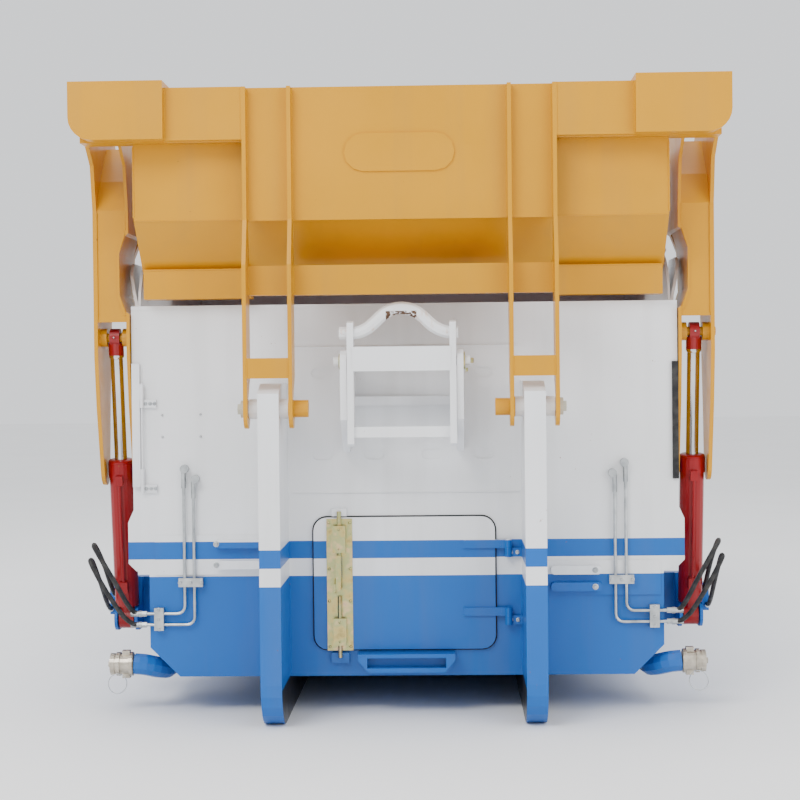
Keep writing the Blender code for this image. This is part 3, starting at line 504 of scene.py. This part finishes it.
def front_welds():
    work = bmesh.new()
    for side in SIDES:
        for x in UPRIGHT_EDGES:
            bead(work, (side * x, WALL - 0.002, 0.16), (side * x, WALL - 0.002, 1.285), 0.0045)
    bead(work, (-0.440, WALL - 0.004, 0.861), (0.440, WALL - 0.004, 0.861), 0.0035)
    bead(work, (-0.440, WALL - 0.004, 1.430), (0.440, WALL - 0.004, 1.430), 0.0035)
    for x in (-0.232, -0.207, 0.207, 0.232):
        bead(work, (x, WALL - 0.006, 1.03), (x, WALL - 0.006, 1.395), 0.0045)
    finished(work, "front_weld_beads", "root", LOOKS["banded"])


# ---- fasteners and small fittings --------------------------------------------------------

def front_fasteners():
    work = bmesh.new()
    for side, heights in ((-1, (0.667, 0.585)), (1, (0.555, 0.490))):
        for z in heights:
            bolt(work, (side * 0.735, back(0.325), z), FRONT, 0.014)
    for z in (0.658, 0.395):
        for x in (0.410, 0.436):
            bolt(work, (x, back(0.339), z - 0.033), FRONT, 0.010)
    for z in (1.262, 0.930):
        for x in (-1.008, -0.990, -0.973):
            bolt(work, (x, back(0.348), z - 0.046), FRONT, 0.009)
    for side in SIDES:
        for x in (0.797, 0.8375, 0.878):
            bolt(work, (side * x, back(0.329), 0.517), FRONT, 0.011)
        for z in (0.337, 0.374, 0.411):
            bolt(work, (side * 0.9635, back(0.329), z), FRONT, 0.010)
    for place in ((-0.945, 1.170), (-0.795, 1.172), (-0.945, 1.085), (-0.795, 1.085)):
        rivet(work, (place[0], WALL - 0.002, place[1]), FRONT, 0.0045)
    finished(work, "front_fasteners", "root", LOOKS["galvanised"])
    keeper = bmesh.new()
    y, z = back(HOOK_PIN[0]), HOOK_PIN[1]
    turned(keeper, (0.2322, y, z), (1, 0, 0), [(0.034, 0.0), (0.034, 0.004), (0.031, 0.006)], 28)
    bolt(keeper, (0.2585, y, z), (1, 0, 0), 0.020, False)
    bolt(keeper, (0.239, back(0.140), 1.335), (1, 0, 0), 0.014)
    turned(keeper, (-0.2322, y, z), (-1, 0, 0), [(0.030, 0.0), (0.030, 0.004), (0.027, 0.006)], 28)
    finished(keeper, "hook_pin_keeper", "root", LOOKS["zinc"])


def latch_details():
    work = bmesh.new()
    for x in (-0.297, -0.215):
        for z in (0.262, 0.440, 0.565, 0.745):
            rivet(work, (x, back(0.3402), z), FRONT, 0.0062)
    for z in (0.285, 0.360, 0.645, 0.720):
        rivet(work, (LATCH_X, back(0.312), z), FRONT, 0.0050)
    finished(work, "latch_rivets", "hatch", LOOKS["zinc"])
    coil = bmesh.new()
    turns, samples = 9, 12
    points = []
    for i in range(turns * samples + 1):
        angle = 2 * math.pi * i / samples
        points.append((LATCH_X + 0.0115 * math.cos(angle), back(0.3295) + 0.0085 * math.sin(angle),
                       0.535 + 0.0085 * i / samples))
    sweep(coil, points, [0.0014] * len(points), 6)
    finished(coil, "latch_spring", "hatch", LOOKS["galvanised"])


def hatch_seal_and_shadow_line():
    """A black rubber lip round the hatch, between the lid and the wall, which also paints the shadow line of the gap
    round the lid.
    """
    reach, corner = 0.003, 0.055
    work = bmesh.new()
    (x0, x1), (z0, z1) = ((low - reach, high + reach) for low, high in HATCH_LID)
    points = []
    for cx, cz, start in ((x1 - corner, z1 - corner, 0), (x0 + corner, z1 - corner, 90),
                          (x0 + corner, z0 + corner, 180), (x1 - corner, z0 + corner, 270)):
        for step in range(9):
            angle = math.radians(start + 90 * step / 8)
            points.append((cx + corner * math.cos(angle), back(0.3565), cz + corner * math.sin(angle)))
    points.append(points[0])
    # a black ring that is partly a seal and partly a painted shadow line in the gap round the lid
    sweep(work, points, [0.0028] * len(points), 6)
    finished(work, "hatch_seal_and_shadow_line", "hatch", LOOKS["rubber"])


def hose_fittings():
    """Crimped ferrules and nuts at both ends of each hose."""
    work = bmesh.new()
    for side in SIDES:
        for x, z in HOSE_ENDS:
            turned(work, (side * x, back(0.6995), z), FRONT,
                   [(0.0100, 0.0), (0.0100, 0.010), (0.0098, 0.012), (0.0098, 0.030), (0.0100, 0.034)], 12)
        for z in PIPE_ENDS:
            turned(work, (side * 1.031, back(0.342), z), (side, 0, 0),
                   [(0.0125, 0.0), (0.0125, 0.012), (0.0108, 0.013), (0.0108, 0.040), (0.0102, 0.044)], 12)
    finished(work, "hose_ferrules", "root", LOOKS["galvanised"])


def drain_rings():
    """Wire rings that hang from the coupling's cam ears."""
    for side, word, lean in ((-1, "left", 0.25), (1, "right", -0.45)):
        work = bmesh.new()
        centre = Vector((side * 1.135, back(0.362), 0.118))
        points = []
        for i in range(41):
            angle = 2 * math.pi * i / 40
            flat = Vector((0.036 * math.cos(angle), 0.0024 * math.sin(angle * 2), 0.039 * math.sin(angle)))
            points.append(centre + Matrix.Rotation(lean, 3, "Y") @ flat)
        sweep(work, points, [0.0016] * len(points), 8)
        finished(work, "drain_ring_" + word, "root", LOOKS["galvanised"])


def cylinder_details():
    """Gland rings on the barrels and a grease nipple on each rod eye."""
    base, eye = (Vector((0, back(y), z)) for y, z in (CYLINDER_BASE, ROD_EYE))
    along = (eye - base).normalized()
    barrels, rods = bmesh.new(), bmesh.new()
    for side in SIDES:
        offset = Vector((side * CYLINDER_X, 0, 0))
        gland = [(0.050, 0.0), (0.050, 0.006), (0.046, 0.010), (0.036, 0.012), (0.0262, 0.013)]
        turned(barrels, base + along * BARREL_LENGTH + offset, along, gland, 32)
        neck = [(0.0285, 0.0), (0.0280, 0.004), (0.0255, 0.007)]
        turned(rods, eye - along * 0.0755 + offset, -along, neck, 28)
        nipple = [(0.005, 0), (0.005, 0.006), (0.003, 0.010)]
        turned(rods, eye + offset + Vector((0, -0.0355, 0)), FRONT, nipple, 8)
    finished(barrels, "gland_rings", "lift_barrels", LOOKS["red"])
    finished(rods, "rod_fittings", "lift_rods", LOOKS["chrome"])


def door_details():
    work = bmesh.new()
    for x in (-0.95, 0.95):
        for z in (0.45, 1.05, 1.60):
            bolt(work, (x, back(DOOR_OUTSIDE), z), (0, 1, 0), 0.026)
    finished(work, "door_bolts", "door", LOOKS["galvanised"])


hopper_welds()
front_welds()
front_fasteners()
latch_details()
hatch_seal_and_shadow_line()
hose_fittings()
drain_rings()
cylinder_details()
door_details()


# ---- stage, light and camera -------------------------------------------------------------

def stage():
    work = bmesh.new()
    bmesh.ops.create_grid(work, x_segments=1, y_segments=1, size=40)
    mesh = bpy.data.meshes.new("floor")
    work.to_mesh(mesh)
    work.free()
    floor = bpy.data.objects.new("floor", mesh)
    bpy.context.scene.collection.objects.link(floor)
    finish = Finish("floor", roughness=0.85)
    finish.colour(finish.ramp(finish.noise(0.8), [(0.3, (0.92, 0.92, 0.92)), (0.7, (0.95, 0.95, 0.95))]))
    mesh.materials.append(finish.material)


def area(name, place, target, size, power):
    lamp = bpy.data.lights.new(name, "AREA")
    lamp.shape = "RECTANGLE"
    lamp.size, lamp.size_y = size
    lamp.energy = power
    made = bpy.data.objects.new(name, lamp)
    made.location = place
    made.rotation_euler = (Vector(target) - Vector(place)).to_track_quat("-Z", "Y").to_euler()
    bpy.context.scene.collection.objects.link(made)


def light():
    world = bpy.data.worlds.new("studio")
    world.use_nodes = True
    shade_node = world.node_tree.nodes["Background"]
    shade_node.inputs["Color"].default_value = (0.95, 0.97, 1.0, 1)
    shade_node.inputs["Strength"].default_value = 1.22
    bpy.context.scene.world = world
    area("key", (-3.5, -8.0, 6.5), (0, -2.2, 1.2), (4, 3), 420)
    area("fill", (5.0, -7.0, 3.0), (0, -2.2, 1.0), (4, 4), 160)
    area("top", (0, 0, 8.0), (0, 0, 1.0), (6, 8), 350)


def camera():
    """The view of the hook end: 6.4 m in front of the uprights, a little right of the middle."""
    lens = bpy.data.cameras.new("camera")
    lens.sensor_width = 36
    lens.lens = CAMERA_LENS
    made = bpy.data.objects.new("camera", lens)
    x, y, z = CAMERA_PLACE
    yaw = Matrix.Rotation(CAMERA_YAW, 4, "Z")
    pitch = Matrix.Rotation(math.pi / 2 - CAMERA_PITCH, 4, "X")
    roll = Matrix.Rotation(CAMERA_ROLL, 4, "Z")
    made.matrix_world = Matrix.Translation((x, back(y), z)) @ (yaw @ pitch @ roll)
    bpy.context.scene.collection.objects.link(made)
    bpy.context.scene.camera = made


stage()
light()
camera()
